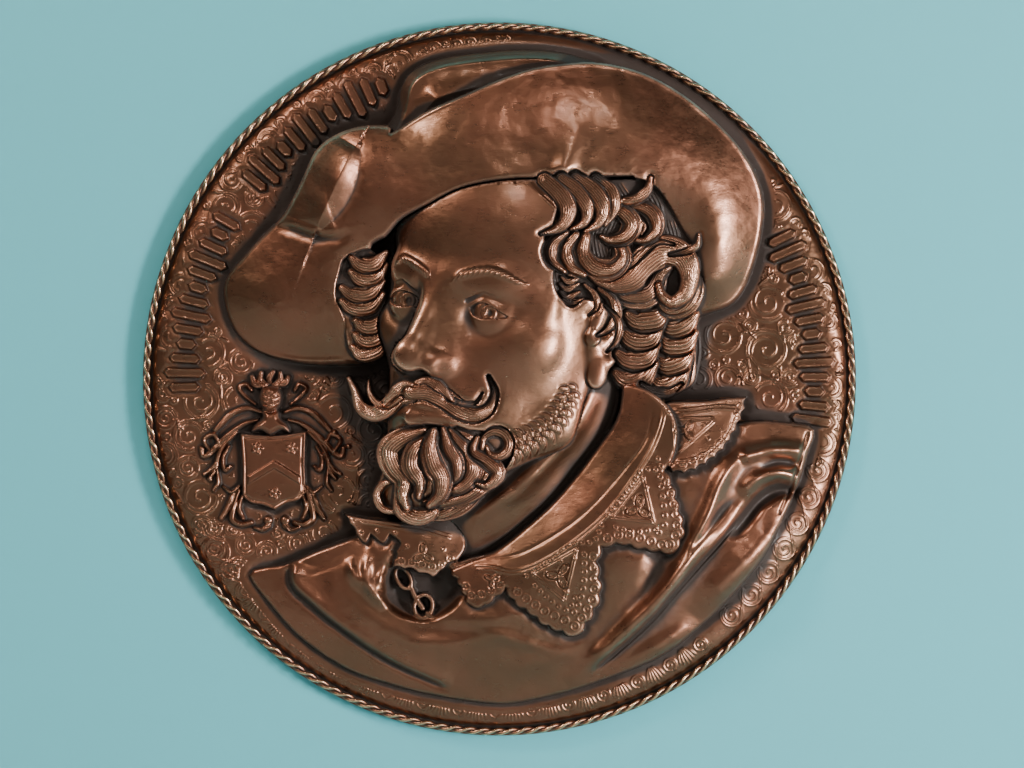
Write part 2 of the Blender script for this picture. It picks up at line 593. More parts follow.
def head_heights(x, z, front=125.0, back=-35.0, steps=44):
    """Walks from the front towards the wall at each place until it meets the head."""
    toward = np.full(x.shape, np.float32(front))
    gap = np.full(x.shape, np.float32(1e3))
    going = np.ones(x.shape, bool)
    u, v = (x - np.float32(HEAD_CENTRE[0])) / HEAD_SCALE, (z - np.float32(HEAD_CENTRE[1])) / HEAD_SCALE
    right = (u * np.cos(HEAD_TILT) - v * np.sin(HEAD_TILT)).astype(np.float32)
    up = (u * np.sin(HEAD_TILT) + v * np.cos(HEAD_TILT)).astype(np.float32)
    turn_cos, turn_sin = np.float32(np.cos(HEAD_TURN)), np.float32(np.sin(HEAD_TURN))
    for _ in range(steps):
        a, w = right[going], toward[going] / np.float32(HEAD_SCALE)
        gap[going] = head(a * turn_cos + w * turn_sin, w * turn_cos - a * turn_sin, up[going]) * HEAD_SCALE
        toward[going] -= gap[going] * np.float32(0.92)
        going &= (gap > 0.02) & (toward > back)
        if not going.any():
            break
    return np.where((gap < 0.8) & (toward > back), HEAD_LIFT + DEPTH_KEPT * toward, -50).astype(np.float32)


# Setting the head under the brim

HEAD_OPENING = (
    (340, 262), (372, 248), (388, 238), (402, 222), (427, 208), (461, 191), (500, 183), (530, 181),
    (560, 177), (640, 180), (640, 480), (520, 560), (380, 560), (350, 500), (345, 380),
)
HEAD_WINDOW = np.array([(-100.0, -135.0), (105.0, 135.0)])


def set_head():
    place = window(HEAD_WINDOW, 5)
    heights = head_heights(X[place], Z[place])
    shown = rise(depth_inside(drawn_curve(HEAD_OPENING, 120, True), X[place], Z[place]), -0.5, 0.8)
    H[place] = np.where(heights > 0, H[place] + (heights - H[place]) * shown, H[place])


# Helpers for locks

LEAF = (0.5, 1.0, 0.4)
EVEN = (0.5, 1.0, 1.0, 0.4)
HOOK = (0.5, 0.9, 1.0, 0.8, 0.35)
FORELOCK = (0.9, 1.0, 1.0, 0.6, 0.25)
LONG_CURL = (0.35, 0.75, 1.05, 1.1, 0.9, 0.6, 0.45, 0.3)
LOCK_GROOVE = 0.8
LOCK_WIDER = 1.12
UNDER_WIDTH = 0.62
UNDER_ASIDE = 0.52


def lay(points, width, foot, crown=5.0, strands=5, taper=LEAF, under=0.0, **more):
    """A lock along drawn points, its width in drawing units, with thinner locks under its two sides."""
    line = drawn_curve(points, 10 + 5 * len(points))
    wide = width * DRAWING_UNIT * LOCK_WIDER
    if under:
        lower = np.atleast_1d(np.array(foot, float)) - under
        for side in (-1, 1):
            bow = np.sin(np.linspace(0.5, 2.8, len(line)))
            bent = beside(line, side * UNDER_ASIDE * wide * bow)
            lay_lock(bent, wide * UNDER_WIDTH, lower, crown * 0.6, 3, (0.3, 1.0, 0.3), 0.6, 1.5)
    lay_lock(line, wide, foot, crown, strands, taper, **{"groove": LOCK_GROOVE, **more})


def lay_all(locks):
    """Locks from a list: points, width, heights of the foot, crown, strands, taper and room under it."""
    for points, width, foot, crown, strands, taper, under in locks:
        lay(points, width, foot, crown, strands, taper, under)


def lay_ringlet(rolls, width, foot, crown, thick, strands=5):
    """Rolls of hair over each other, from the lowest up. Each roll is (x, y, lean)."""
    half = width / 2
    for x, y, lean in reversed(rolls):
        left = [(x - half, y - 4 + lean), (x - half * 0.5, y + 4 + lean * 0.5)]
        right = [(x + half * 0.35, y + 5 - lean * 0.5), (x + half, y - 5 - lean)]
        lay(left + right, thick, foot, crown, strands, EVEN)


# Hair at the left, beyond the cheek

LEFT_BED = (
    (348, 258), (376, 252), (386, 290), (388, 340), (380, 358), (352, 352), (345, 318), (337, 296),
    (341, 272),
)
LEFT_RINGLETS = (
    (((373, 322, 3), (373, 335, 4), (371, 348, 4)), 32, 32, 5),
    (((364, 290, 3), (364, 303, 3)), 40, 33, 5.5),
    (((370, 261, 2), (370, 274, 3)), 34, 34, 6),
)


def hair_left():
    raise_shape(drawn_curve(LEFT_BED, 60, True), 34.0, 2, 1.5, 0.8, 4)
    for rolls, width, foot, crown in LEFT_RINGLETS:
        lay_ringlet(rolls, width, foot, crown, 16, 6)


# Hair at the right: bed, ringlets and locks

HAIR_BED = (
    (541, 186), (600, 182), (650, 186), (684, 236), (697, 262), (694, 300), (695, 345), (692, 384),
    (662, 392), (630, 388), (616, 362), (616, 325), (606, 306), (580, 300), (560, 300), (552, 278),
    (556, 262), (543, 240), (552, 226), (556, 205),
)
HAIR_BED_SPOTS = (
    (541, 186, 50), (556, 262, 46), (560, 300, 45), (552, 226, 48), (600, 182, 46), (650, 186, 42),
    (684, 236, 35), (697, 262, 30), (694, 300, 27), (695, 345, 24), (692, 384, 23), (662, 392, 26),
    (634, 386, 28), (624, 352, 33), (604, 300, 39), (580, 240, 45), (620, 240, 41), (650, 270, 36),
    (640, 340, 31), (600, 260, 43),
)
HAIR_FLOW = (
    [(545, 190), (566, 214), (556, 240), (560, 270), (566, 296)],
    [(590, 186), (606, 210), (596, 240), (604, 276)], [(612, 188), (626, 214), (616, 246), (612, 288)],
    [(640, 190), (652, 214), (640, 246), (648, 286)], [(664, 222), (668, 244), (656, 262)],
    [(684, 250), (690, 280), (684, 310)], [(628, 300), (622, 330), (630, 372)],
    [(660, 306), (658, 340), (662, 384)], [(686, 316), (690, 350), (684, 384)],
)
FLOW_SHIFTS = np.arange(-6.0, 6.1, 2.4)
OUTER_RINGLET = ((677, 322, 2), (676, 340, 2), (672, 359, 3), (668, 378, 4))
INNER_RINGLET = ((646, 316, 3), (640, 334, 3), (636, 354, 4), (634, 373, 4))
RIGHT_LOCKS = (
    ([(640, 384), (652, 392), (668, 392), (680, 384)], 12, 24, 4, 5, LEAF, 0),
    ([(655, 300), (668, 311), (684, 306), (694, 288), (690, 262)], 12, (34, 34, 32), 4.5, 5, LEAF, 1.5),
    ([(607, 288), (628, 296), (648, 292), (658, 276), (668, 268)], 17, (39, 38, 37), 5, 7, LEAF, 1.5),
    ([(590, 275), (608, 283), (628, 280), (642, 265), (660, 252), (680, 257), (688, 274), (684, 294),
      (671, 303), (660, 296), (657, 286)], 27, (43, 43, 42, 39, 37, 36), 7, 11, LONG_CURL, 0),
    ([(606, 272), (626, 268), (640, 256), (656, 244), (672, 246)], 9, (45, 44, 41, 39), 3.5, 4, LEAF, 0),
    ([(668, 256), (684, 253), (695, 247), (697, 236)], 8, (37, 39, 42), 3.5, 4, (0.6, 1.0, 0.3), 0),
    ([(563, 300), (570, 305), (582, 300)], 7, 44, 3, 3, LEAF, 0),
    ([(560, 293), (567, 298), (579, 293)], 7, 44.4, 3, 3, LEAF, 0),
    ([(559, 285), (566, 290), (578, 285)], 7, 44.8, 3, 3, LEAF, 0),
    ([(561, 278), (568, 283), (580, 278)], 7, 45.2, 3, 3, LEAF, 0),
    ([(598, 290), (610, 300), (614, 316), (606, 330), (596, 336)], 8, (42, 41, 40), 3.5, 3, LEAF, 1.0),
    ([(584, 286), (594, 296), (596, 308), (588, 316)], 7, (44, 44, 43), 3, 3, LEAF, 0),
    ([(604, 306), (617, 322), (616, 340), (606, 352)], 8, (37, 37, 35), 3.5, 3, LEAF, 0),
    ([(585, 237), (582, 255), (593, 269), (611, 271), (622, 259), (617, 245), (606, 243)], 13,
     (47, 48, 47, 45), 5, 6, (0.7, 1.1, 1.05, 0.8, 0.55, 0.3), 1.6),
    ([(575, 236), (565, 251), (569, 267), (583, 276)], 13, (48, 49, 47), 4.5, 5, (0.6, 1.0, 0.45), 1.5),
    ([(566, 234), (553, 246), (552, 261), (564, 273)], 11, (49, 50, 48), 4, 5, LEAF, 1.2),
    ([(618, 211), (637, 208), (651, 216), (655, 230), (646, 241), (633, 242)], 10,
     (42, 43, 43), 4, 5, HOOK, 1.5),
    ([(622, 226), (634, 222), (643, 228), (640, 236)], 6, (43, 43, 42), 2.5, 3, LEAF, 0),
    ([(604, 209), (619, 213), (630, 225), (624, 238), (610, 242), (600, 238)], 12,
     (45, 45, 44), 4.5, 5, HOOK, 1.5),
    ([(649, 180), (646, 192), (635, 201), (620, 203), (608, 198)], 10, (46, 45, 44), 4, 5,
     (0.6, 1.0, 0.8, 0.3), 0),
    ([(594, 181), (610, 194), (613, 210), (604, 226)], 13, (46, 47, 46), 4, 6, (0.9, 1.0, 0.9, 0.4), 0),
    ([(574, 181), (592, 194), (601, 211), (597, 225), (584, 233)], 17, (50, 49.5, 48), 5, 8, FORELOCK, 0),
    ([(560, 181), (576, 194), (586, 211), (583, 225), (570, 231)], 15, (52, 51, 49), 5, 7, FORELOCK, 0),
    ([(544, 183), (560, 198), (567, 213), (560, 228), (540, 236)], 17, (54, 53, 52), 4.5, 8, FORELOCK, 0),
)


def hair_right():
    spots = drawn(HAIR_BED_SPOTS)
    raise_shape(drawn_curve(HAIR_BED, 120, True), lambda x, z, depth: skin(spots, x, z), 2.5, 1.5)
    for points in HAIR_FLOW:
        flow = drawn_curve(points, 24)
        for shift in FLOW_SHIFTS:
            add_ridge(beside(flow, shift), 0.8, 1.0, 0.1)
    lay_ringlet(OUTER_RINGLET, 34, 26, 7.5, 22, 6)
    lay_ringlet(INNER_RINGLET, 38, 30, 8.5, 24, 7)
    lay_all(RIGHT_LOCKS)


# Brows

BROW_LOWER = ((8, 82, 14), (20, 82, 19), (34, 77, 22.5), (49, 62, 18))
BROW_UPPER = ((9, 82, 20), (21, 82, 26), (36, 76, 28.5), (51, 60, 21))
BROW_HAIRS = 13


def brows():
    """A soft swelling with short hairs that slant outwards."""
    for side in (1, -1):
        low = curve([on_sheet(side * x, y, z)[:2] for x, y, z in BROW_LOWER], BROW_HAIRS + 2)
        high = curve([on_sheet(side * x, y, z)[:2] for x, y, z in BROW_UPPER], BROW_HAIRS + 2)
        add_ridge(0.5 * (low + high), (2.6, 3.0, 2.6, 1.6), (1.2, 1.7, 1.4, 0.6), 0.12)
        for i in range(BROW_HAIRS):
            middle = 0.5 * (low[i] + high[i + 1]) + 0.3
            add_ridge(curve([low[i], middle, high[i + 2]], 6), 0.6, 0.6, 0.2)


# Short curls along the jaw

JAW_LINE = ((58, 6, -36), (56, 10, -52), (50, 18, -68), (42, 28, -78), (33, 40, -88), (24, 52, -96))
JAW_ROWS = ((7.0, 4), (1.5, 2), (-4.0, 5))
JAW_RINGS = (1.0, 0.68, 0.36)


def jaw_curls():
    """Rows of small shells of hair along the jaw, fine under the ear and larger towards the chin."""
    jaw = curve([on_sheet(*point) for point in JAW_LINE], 60)[:, :2]
    add_ridge(jaw[4:50], 9.0, (0.5, 1.8, 2.6, 2.2), 0.25)
    way = np.gradient(jaw, axis=0)
    way /= np.linalg.norm(way, axis=1, keepdims=True)
    for aside, first in JAW_ROWS:
        for i in range(first, 46, 4):
            size = 3.2 + 0.055 * i
            middle = jaw[i] + aside * (0.7 + 0.01 * i) * np.array([way[i, 1], -way[i, 0]])
            angles = np.linspace(-1.5, 1.5, 9) + np.arctan2(-way[i, 1], -way[i, 0])
            arc = size * np.stack([np.cos(angles), np.sin(angles)], 1)
            for ring in JAW_RINGS:
                add_ridge(middle + ring * arc, 0.62, 0.75, 0.25)
            add_ridge(middle + 1.35 * arc, 0.7, -0.55, 0.25)


# Beard

BEARD_BED = (
    (396, 436), (386, 452), (384, 470), (378, 488), (382, 504), (394, 514), (410, 520), (428, 522),
    (447, 512), (468, 500), (488, 488), (504, 470), (514, 450), (508, 434), (480, 430), (455, 428),
    (425, 424),
)
BEARD_SPOTS = (
    (386, 452, 40), (378, 488, 34), (394, 514, 36), (428, 522, 38), (468, 500, 41), (504, 468, 45),
    (514, 448, 48), (480, 430, 53), (425, 424, 54), (410, 470, 54), (435, 470, 57), (460, 460, 55),
    (430, 500, 50), (400, 495, 46), (470, 480, 49),
)
BEARD_LOCKS = (
    ([(397, 480), (385, 483), (378, 494), (383, 507), (395, 510), (402, 502)], 8,
     (41, 38, 38, 40), 3.5, 4, HOOK, 0),
    ([(484, 476), (474, 492), (458, 504), (438, 512), (420, 512)], 13, (43, 43, 42), 4.5, 6, EVEN, 1.0),
    ([(399, 492), (402, 508), (416, 516), (432, 512), (438, 500)], 15, (44, 43, 45), 5.5, 6, EVEN, 0),
    ([(456, 430), (474, 442), (486, 458), (484, 476), (466, 492), (444, 500), (426, 500)], 14,
     (52, 51, 49, 47, 47), 4.5, 7, (0.5, 1.0, 1.0, 1.0, 0.8, 0.35), 1.2),
    ([(426, 430), (406, 437), (392, 449), (396, 464), (406, 478), (404, 494), (408, 506)], 16,
     (53, 51, 48, 47, 47, 46), 5.5, 7, (0.5, 0.9, 1.1, 1.0, 0.8, 0.4), 1.2),
    ([(430, 436), (416, 448), (413, 464), (421, 480), (420, 496)], 12, (55, 54, 52, 49), 4.5, 5, EVEN, 1.0),
    ([(450, 430), (460, 444), (471, 458), (472, 473), (460, 486), (444, 489)], 14,
     (53, 53, 52, 50, 48), 5.5, 7, (0.5, 1.0, 1.1, 0.9, 0.45), 1.2),
    ([(444, 428), (449, 446), (457, 460), (457, 474), (446, 484)], 11, (55, 55, 54, 51), 4.5, 6, EVEN, 0.8),
    ([(435, 430), (431, 447), (435, 462), (443, 477), (441, 493), (430, 504)], 14,
     (56, 56, 55, 52, 48), 5.5, 7, (0.5, 1.0, 1.1, 0.9, 0.45), 1.0),
    ([(478, 437), (474, 450), (488, 460), (498, 472), (488, 484), (476, 482)], 10,
     (51, 50, 48), 4, 5, HOOK, 0.8),
)
BEARD_STRANDS = 9
# Places on the first strand, and the distance from there to the next strand.
FIRST_STRAND = ((410, 430, 5), (404, 462, 7), (408, 500, 6))
RING_CURL = (497, 444)
RING_CURL_RADIUS = 15


def beard():
    spots = drawn(BEARD_SPOTS)
    jaw_curls()
    raise_shape(drawn_curve(BEARD_BED, 90, True), lambda x, z, depth: skin(spots, x, z), 6, 5, 1.2, 4)
    for i in range(BEARD_STRANDS):
        strand = [(x + apart * i, y) for x, y, apart in FIRST_STRAND]
        add_ridge(drawn_curve(strand, 20), 0.8, 0.8, 0.1)
    lay_all(BEARD_LOCKS)
    turns = np.linspace(-3.4, 3.0, 9)
    out = RING_CURL_RADIUS * np.linspace(1.0, 0.7, 9)
    ring = np.stack([RING_CURL[0] + out * np.cos(turns), RING_CURL[1] + out * np.sin(turns)], 1)
    lay(ring, 10, 49, 4.5, 4, EVEN)


# Moustache

MOUSTACHE_STRIPS = (
    ([(-3, 8), (-16, 10), (-28, 21), (-41, 27), (-54, 20), (-60, 4), (-66, -8)], 17,
     (58, 56, 52, 46, 42, 40), 4.5, 8, (0.9, 1.0, 0.95, 0.75, 0.45, 0.22)),
    ([(-46, -6), (-45, 6), (-38, 16), (-26, 19), (-13, 11)], 7, (46, 49, 52, 57), 3.0, 4,
     (0.25, 0.8, 1.0, 0.8)),
    ([(-2, 4), (14, 4), (30, 12), (46, 24), (60, 28), (73, 22), (79, 6), (73, -10)], 19,
     (59, 59, 57, 54, 51, 49), 5, 9, (0.9, 1.05, 1.0, 0.8, 0.5, 0.22)),
    ([(34, 12), (48, 17), (60, 16), (67, 6)], 7, (57, 55, 53), 2.5, 4, (0.9, 0.8, 0.3)),
    ([(2, -4), (12, -6), (26, 2), (38, 14)], 11, (60, 60, 57), 3, 6, LEAF),
    ([(-3, -2), (-12, -2), (-22, 8), (-30, 18)], 10, (59, 58, 53), 3, 5, LEAF),
)
UNDER_NOSE = (0, 92, -52)


def moustache():
    """A full moustache that turns up at both ends, its strips drawn from the place under the nose."""
    x, z, height = on_sheet(*UNDER_NOSE)
    middle = np.array([x / DRAWING_UNIT + DRAWING_CENTRE[0], DRAWING_CENTRE[1] - z / DRAWING_UNIT])
    for points, width, foot, crown, strands, taper in MOUSTACHE_STRIPS:
        lay(np.array(points) + middle, width, foot, crown, strands, taper)


# Scalloped edges

def scalloped(points, count, bite):
    """A line with so many round scallops, standing out to its left where bite is above 0."""
    line = drawn_curve(points, count * 8)
    return beside(line, bite * np.abs(np.sin(np.pi * np.linspace(0, count, len(line)))))


def edge_of(parts):
    """A closed edge from its parts. Each part is (points, scallops, bite), smooth where there are none."""
    return np.vstack([scalloped(*part) if part[1] else drawn_curve(part[0], 24) for part in parts])


def draped(parts, spots, edge, drop, groove, groove_width):
    """A piece of cloth stretched over its spots."""
    places = drawn(spots)
    raise_shape(edge_of(parts), lambda x, z, depth: skin(places, x, z), edge, drop, groove, groove_width)


# The collar's three pieces

LEFT_PARTS = (
    ([(400, 520), (370, 518), (344, 513)], 0, 0), ([(344, 513), (350, 522), (357, 533)], 2, 1.2),
    ([(357, 533), (366, 542), (372, 533)], 0, 0), ([(372, 533), (384, 542), (391, 533)], 0, 0),
    ([(391, 533), (401, 541), (397, 550)], 0, 0), ([(397, 550), (394, 560), (390, 567)], 2, 1.2),
    ([(390, 567), (408, 568), (426, 574), (438, 575), (446, 566), (458, 560)], 5, 1.6),
    ([(458, 560), (466, 545), (460, 528), (440, 515), (400, 520)], 0, 0),
)
LEFT_SPOTS = (
    (344, 513, 26), (400, 520, 32), (366, 540, 30), (400, 555, 34), (430, 573, 34), (457, 559, 33),
    (464, 540, 28), (430, 545, 37), (390, 530, 33),
)
BACK_PARTS = (
    ([(655, 412), (668, 402), (703, 401), (726, 398), (746, 397)], 0, 0),
    ([(746, 397), (741, 416), (734, 430), (722, 449), (703, 464), (685, 472), (670, 471),
      (662, 464)], 11, -1.8),
    ([(660, 460), (656, 440), (655, 412)], 0, 0),
)
BACK_SPOTS = (
    (655, 412, 35), (700, 401, 34), (746, 397, 31), (741, 416, 35), (722, 449, 40), (700, 464, 43),
    (672, 471, 44), (660, 450, 42), (700, 430, 40),
)
COLLAR_INNER = (
    (621, 385), (619, 407), (612, 426), (600, 443), (578, 472), (556, 498), (533, 520), (498, 548),
    (473, 558), (451, 568),
)
NEAR_PARTS = (
    ([(451, 570), (458, 578), (464, 590), (470, 603)], 4, -1.6),
    ([(470, 603), (482, 604), (496, 594), (506, 586)], 3, -1.6),
    ([(506, 586), (516, 600), (532, 611), (546, 622), (575, 634)], 6, -2.0),
    ([(575, 634), (590, 612), (598, 590), (595, 560), (600, 545)], 6, -2.4),
    ([(600, 545), (620, 541), (640, 546), (673, 552)], 5, -1.8),
    ([(673, 552), (681, 530), (676, 508), (670, 486), (663, 470)], 6, -2.0),
    ([(663, 470), (672, 455), (676, 430), (668, 408), (650, 392), (630, 384), (621, 385)], 0, 0),
    (COLLAR_INNER, 0, 0),
)
NEAR_SPOTS = (
    (451, 570, 30), (498, 548, 30), (556, 498, 32), (600, 443, 34), (621, 385, 36), (500, 565, 39),
    (556, 540, 42), (600, 500, 43), (640, 450, 45), (655, 400, 44), (470, 603, 34), (506, 588, 38),
    (540, 600, 40), (577, 633, 36), (595, 590, 40), (595, 550, 44), (640, 545, 42), (673, 552, 38),
    (670, 500, 43), (663, 465, 44), (640, 500, 46), (570, 575, 43),
)
HEM_INSET = 3.6


def collar_left():
    draped(LEFT_PARTS, LEFT_SPOTS, 1.8, 1.5, 2.0, 4)


def collar_back():
    draped(BACK_PARTS, BACK_SPOTS, 2.0, 1.8, 2.0, 4.5)


def collar_near():
    draped(NEAR_PARTS, NEAR_SPOTS, 2.8, 2.6, 1.4, 4)
    add_ridge(beside(drawn_curve(COLLAR_INNER, 60), -HEM_INSET), 0.9, -0.5, 0.04)


# Head, hair and collar in their order

hair_left()
set_head()
brows()
collar_left()
hair_right()
beard()
collar_back()
collar_near()
moustache()


# Strokes along the edge

STROKE_GROUPS = ((181.5, 150.0), (141.0, 112.0), (26.5, -7.5))
STROKE_STEP = 2.62
# Inner end, outer end and half width of the four strokes that take turns.
STROKE_KINDS = ((209.0, 231.5, 3.6), (205.0, 235.0, 3.6), (209.0, 231.5, 3.6), (212.5, 227.5, 4.0))
STROKE_HEIGHT = 2.3


def stroke(angle, inner, outer, half):
    """A bevelled stroke along a radius, its ends cut to a point and its top a little sunk."""
    middle = 0.5 * (inner + outer)
    place = window(np.array([[np.cos(angle) * middle, np.sin(angle) * middle]]), 0.5 * (outer - inner) + 5)
    out = X[place] * np.float32(np.cos(angle)) + Z[place] * np.float32(np.sin(angle)) - np.float32(middle)
    across = np.abs(Z[place] * np.float32(np.cos(angle)) - X[place] * np.float32(np.sin(angle)))
    tip = 0.5 * (outer - inner) - np.abs(out)
    depth = np.minimum(half - across, (tip - 0.8 * across) * 0.8)
    sunk = 0.8 * np.exp(-((np.minimum(depth, 0) / 2.0) ** 2)) * (depth < 0)
    sunk += 0.3 * rise(depth, 1.1, 2.2)
    H[place] += STROKE_HEIGHT * rise(depth, -0.3, 1.1) - sunk


for first, last in STROKE_GROUPS:
    count = int(round(abs(last - first) / STROKE_STEP))
    for i, angle in enumerate(np.radians(np.linspace(first, last, count + 1))):
        stroke(angle, *STROKE_KINDS[i % len(STROKE_KINDS)])


# Shield with a chevron and three rosettes

SHIELD_SIDES = (
    [(241, 433), (274, 435), (307, 431)], [(307, 431), (306, 462), (307, 492)],
    [(307, 492), (299, 500), (288, 503), (276, 510)], [(276, 510), (264, 505), (252, 503), (243, 496)],
    [(243, 496), (243, 464), (241, 433)],
)
SHIELD_HEIGHT = 15.0
SHIELD_LINE_DEPTH = 2.6
CHEVRON_AT = (275, 464)
CHEVRON_HALF, CHEVRON_REACH, CHEVRON_SLOPE, CHEVRON_HEIGHT = 3.0, 18.5, 0.62, 1.3
ROSETTES = ((258, 448), (292, 448), (275, 493))
ROSETTE_RADIUS = 4.4


def rosette(x, y, radius, petals=5, height=1.2):
    centre = drawn([(x, y)])[0]
    place = window(centre[None], radius * 1.6)
    dx, dz = X[place] - np.float32(centre[0]), Z[place] - np.float32(centre[1])
    out = np.hypot(dx, dz)
    edge = radius * (0.82 + 0.18 * np.cos(petals * np.arctan2(dz, dx)))
    sunk_ring = 0.6 * np.exp(-(((out - 0.42 * radius) / 0.5) ** 2))
    H[place] += height * (rise(edge - out, -0.2, 1.0) - sunk_ring)


def shield_height(x, z, depth):
    sunk_line = 0.6 * np.exp(-(((depth - SHIELD_LINE_DEPTH) / 0.6) ** 2))
    return SHIELD_HEIGHT + 0.4 * rise(depth, 0, 14) - sunk_line


shield = np.vstack([drawn_curve(side, 12) for side in SHIELD_SIDES])
raise_shape(shield, shield_height, 1.2, 1.4, 1.5, 3)
place = window(shield, 2)
middle_x, middle_z = drawn([CHEVRON_AT])[0]
across = np.abs(X[place] - np.float32(middle_x))
up = np.abs(Z[place] - np.float32(middle_z) + CHEVRON_SLOPE * across)
H[place] += CHEVRON_HEIGHT * rise(np.minimum(CHEVRON_HALF - up, CHEVRON_REACH - across), -0.2, 0.9)
for x, y in ROSETTES:
    rosette(x, y, ROSETTE_RADIUS)


# Helmet and plume

HELMET = ((271, 382), (280, 388), (283, 398), (279, 409), (271, 413), (264, 409), (260, 398), (263, 388))
GORGET = (
    (252, 432), (256, 424), (263, 418), (264, 410), (279, 410), (281, 418), (288, 424), (291, 433),
    (282, 430), (271, 435), (261, 430),
)
PLUME = (
    [(271, 384), (270, 378), (274, 372)], [(268, 385), (261, 380), (262, 373)],
    [(266, 386), (256, 384), (253, 377)],
    [(274, 385), (281, 380), (281, 373)], [(276, 386), (286, 383), (289, 377)],
)
GORGET_HEIGHTS = (15.5, 2.5)
HELMET_HEIGHTS = (14.5, 5.0)
FACE_BAR = ((264, 392), (271, 394.5), (279, 392))
FACE_BARS = 4
BARS_APART = 4.5


def gorget_height(x, z, depth):
    return GORGET_HEIGHTS[0] + GORGET_HEIGHTS[1] * rise(depth, 0, 4)


def helmet_height(x, z, depth):
    return HELMET_HEIGHTS[0] + HELMET_HEIGHTS[1] * np.sqrt(rise(depth, 0, 6))


raise_shape(drawn_curve(GORGET, 50, True), gorget_height, 1.5, 1.5, 1.0, 2)
raise_shape(drawn_curve(HELMET, 40, True), helmet_height, 1, 0.5, 1.0, 2)
for bar in range(FACE_BARS):
    points = [(x, y + BARS_APART * bar) for x, y in FACE_BAR]
    lay(points, 2.0, 18.3, 0.6, 1, groove=0.8, cut=0.8, strand=0)
for points in PLUME:
    lay(points, 7, 12.6, 2.2, 3, (0.5, 1.0, 0.7), groove=0.8)


# Leafy sprays on both sides

SPRAY = (
    ([(262, 412), (248, 408), (232, 414), (222, 424), (216, 430)], 6),
    ([(258, 420), (244, 424), (228, 436), (212, 452), (204, 456), (202, 448)], 6),
    ([(238, 432), (226, 444), (219, 456), (216, 470), (210, 478)], 5),
    ([(230, 446), (224, 458), (226, 470), (232, 466)], 4.5),
    ([(212, 452), (205, 440), (214, 434), (219, 441)], 4.5),
    ([(240, 486), (234, 494), (228, 508), (222, 518)], 6),
    ([(240, 490), (236, 502), (233, 518), (242, 524), (252, 522)], 6),
    ([(243, 496), (240, 508), (244, 518)], 5),
    ([(224, 486), (232, 492), (238, 488)], 4),
    ([(256, 404), (246, 396), (240, 388), (247, 384), (252, 390)], 4.5),
    ([(217, 462), (211, 470), (205, 474)], 4.5),
    ([(218, 470), (219, 482), (214, 490)], 4.5),
)
SPRAY_MIDDLE = 274
SPRAY_SIDES = ((1, 1.0), (-1, 0.97))
# The two curls under the shield, drawn for the one at the right, and the ball in each.
FOOT_CURL = ((300, 527), (292, 529), (286, 525))
FOOT_MIDDLE = 277.5
FOOT_BALLS = (269, 286)
FOOT_BALL_Y = 520
SPRAY_BUDS = ((203, 449), (219, 442), (211, 479), (335, 432), (349, 446), (322, 455))


def ball(x, y, radius, height, foot=11.5):
    centre = drawn([(x, y)])[0]
    place = window(centre[None], radius * 2)
    out = np.hypot(X[place] - np.float32(centre[0]), Z[place] - np.float32(centre[1])) / np.float32(radius)
    top = foot + height * np.sqrt(np.clip(1 - out * out, 0, 1))
    H[place] = np.where(out < 1, np.maximum(H[place], top), H[place])


for points, width in SPRAY:
    for side, stretch in SPRAY_SIDES:
        mirrored = [(SPRAY_MIDDLE + side * stretch * (x - SPRAY_MIDDLE), y) for x, y in points]
        lay(mirrored, width, 11.0, 2.6, 2, (0.6, 0.9, 1.0, 0.8), groove=0.5, cut=1.5, strand=0.5)
for x, side in zip(FOOT_BALLS, (-1, 1)):
    foot_curl = [(FOOT_MIDDLE + side * (px - FOOT_MIDDLE), py) for px, py in FOOT_CURL]
    lay(foot_curl, 6, 11.5, 2.4, 2, (0.4, 0.8, 1.0), groove=0.5)
    ball(x, FOOT_BALL_Y, 3.3, 2.6)
for x, y in SPRAY_BUDS:
    ball(x, y, 1.9, 2.2)


# The front and the back of the sheet as thinned meshes

def fill_mesh(mesh, points, faces):
    mesh.vertices.add(len(points))
    mesh.vertices.foreach_set("co", np.ascontiguousarray(points, np.float32).ravel())
    mesh.loops.add(faces.size)
    mesh.loops.foreach_set("vertex_index", np.ascontiguousarray(faces, np.int32).ravel())
    mesh.polygons.add(len(faces))
    starts = np.arange(0, faces.size, faces.shape[1], dtype=np.int32)
    mesh.polygons.foreach_set("loop_start", starts)
    mesh.update(calc_edges=True)


